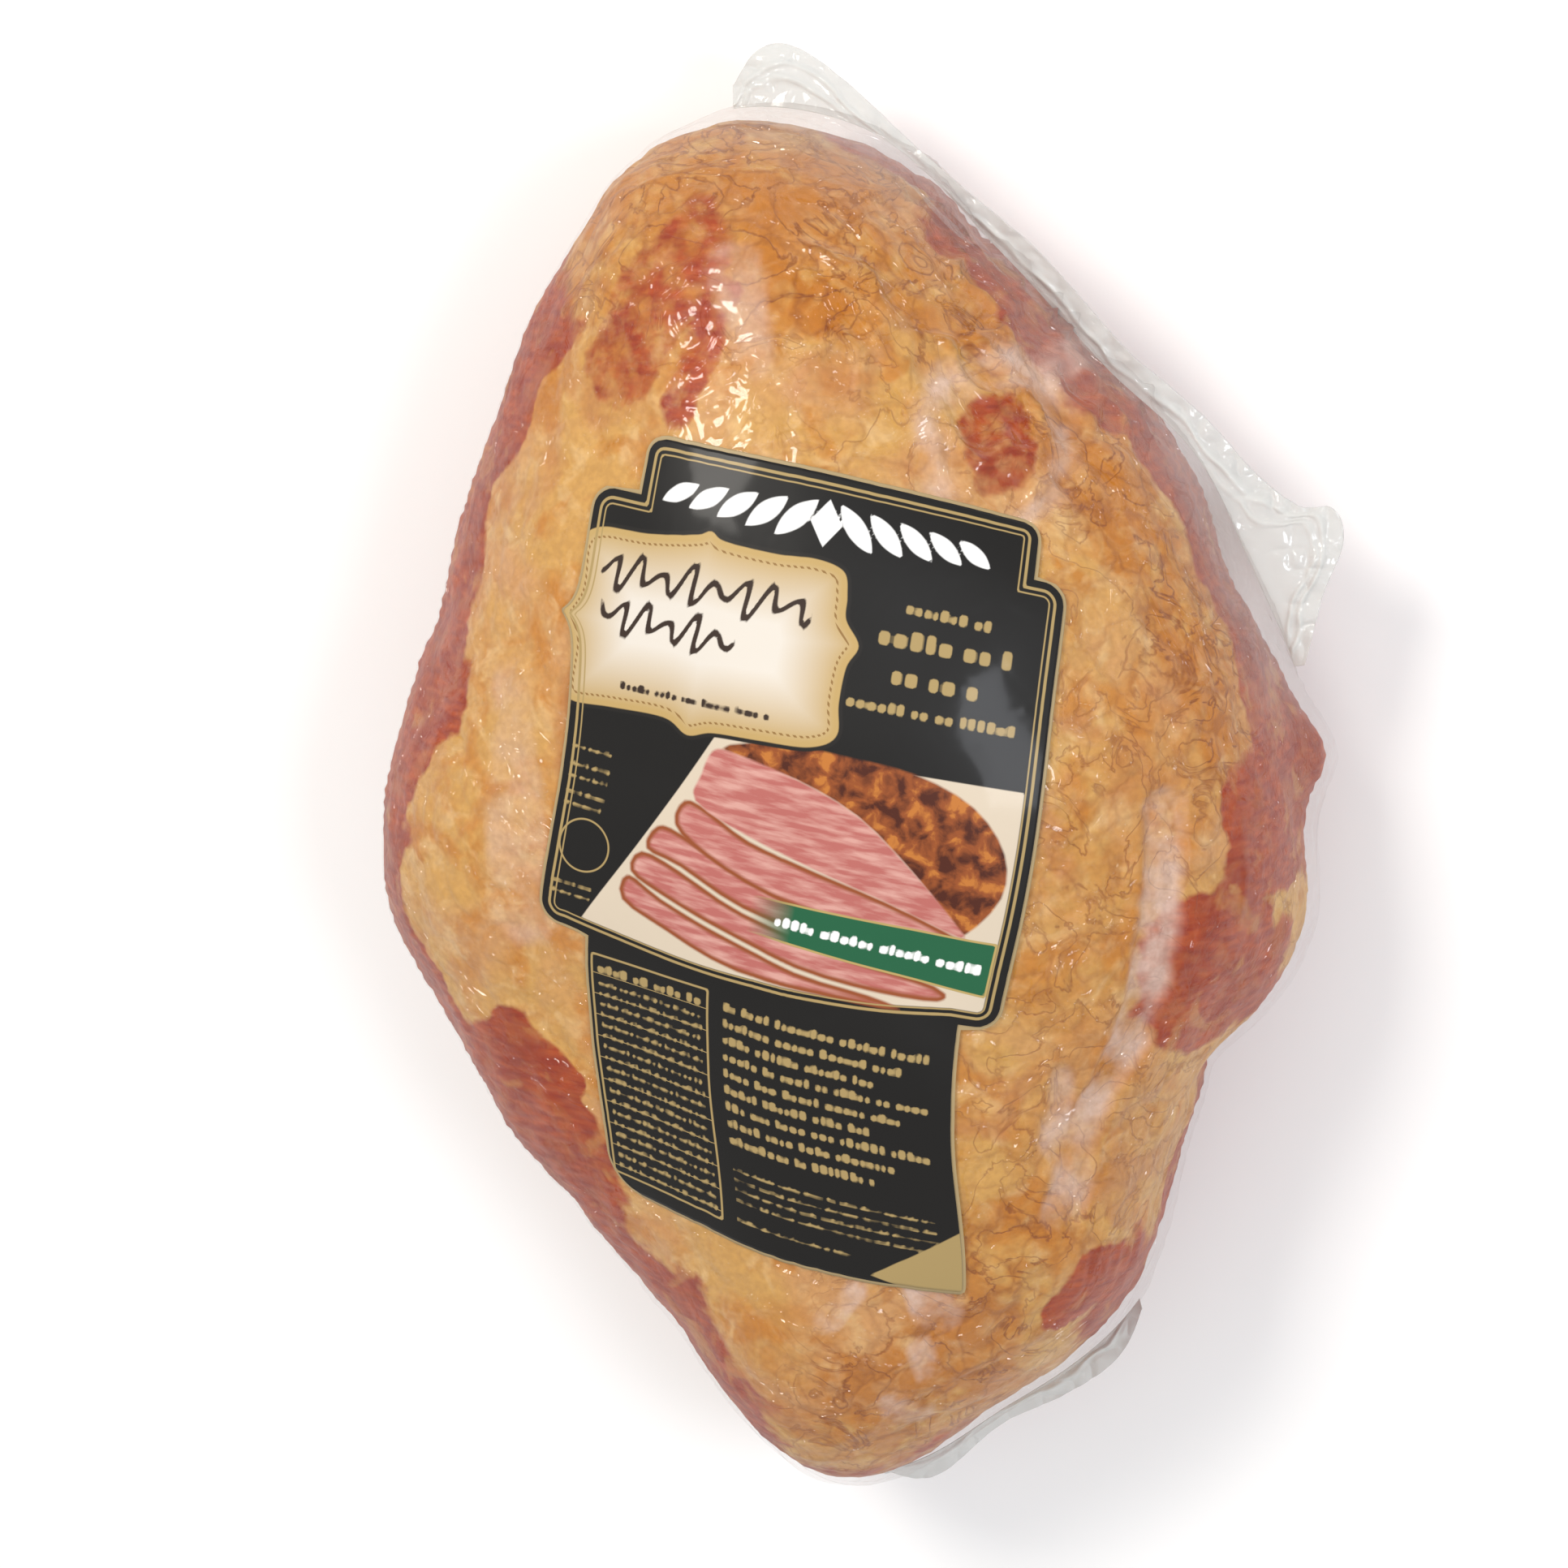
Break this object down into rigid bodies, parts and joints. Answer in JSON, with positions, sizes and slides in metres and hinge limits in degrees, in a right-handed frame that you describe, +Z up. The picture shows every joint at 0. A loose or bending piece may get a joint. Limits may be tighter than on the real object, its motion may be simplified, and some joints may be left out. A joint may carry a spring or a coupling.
{
  "type": "smoked ham",
  "caption": "Whole boneless smoked ham sealed in a clear heat-shrunk bag with crimped seal flaps and a two-ply peel-back label.",
  "frame": {"origin": "under the middle of the object's box, on the surface it rests on", "axes": "+Z up, +Y along the ham towards its broad rounded end, +X across it towards the long seal flap"},
  "size_m": [0.2304, 0.3504, 0.1289],
  "materials": {
    "smoked_meat": "smoked ham surface, tan fat mottled orange-brown with red-brown lean, moist",
    "clear_film": "clear glossy multilayer shrink film",
    "label_backing": "coated label paper, dark face with a gold edge line",
    "label_print": "printed and varnished label face, near black with cream, gold and picture panels"
  },
  "bodies": {
    "root": {"ham": "smoked_meat", "shrink_bag": "clear_film", "label_base_ply": "label_backing", "label_peel_ply": "label_print"}
  },
  "joints": []
}
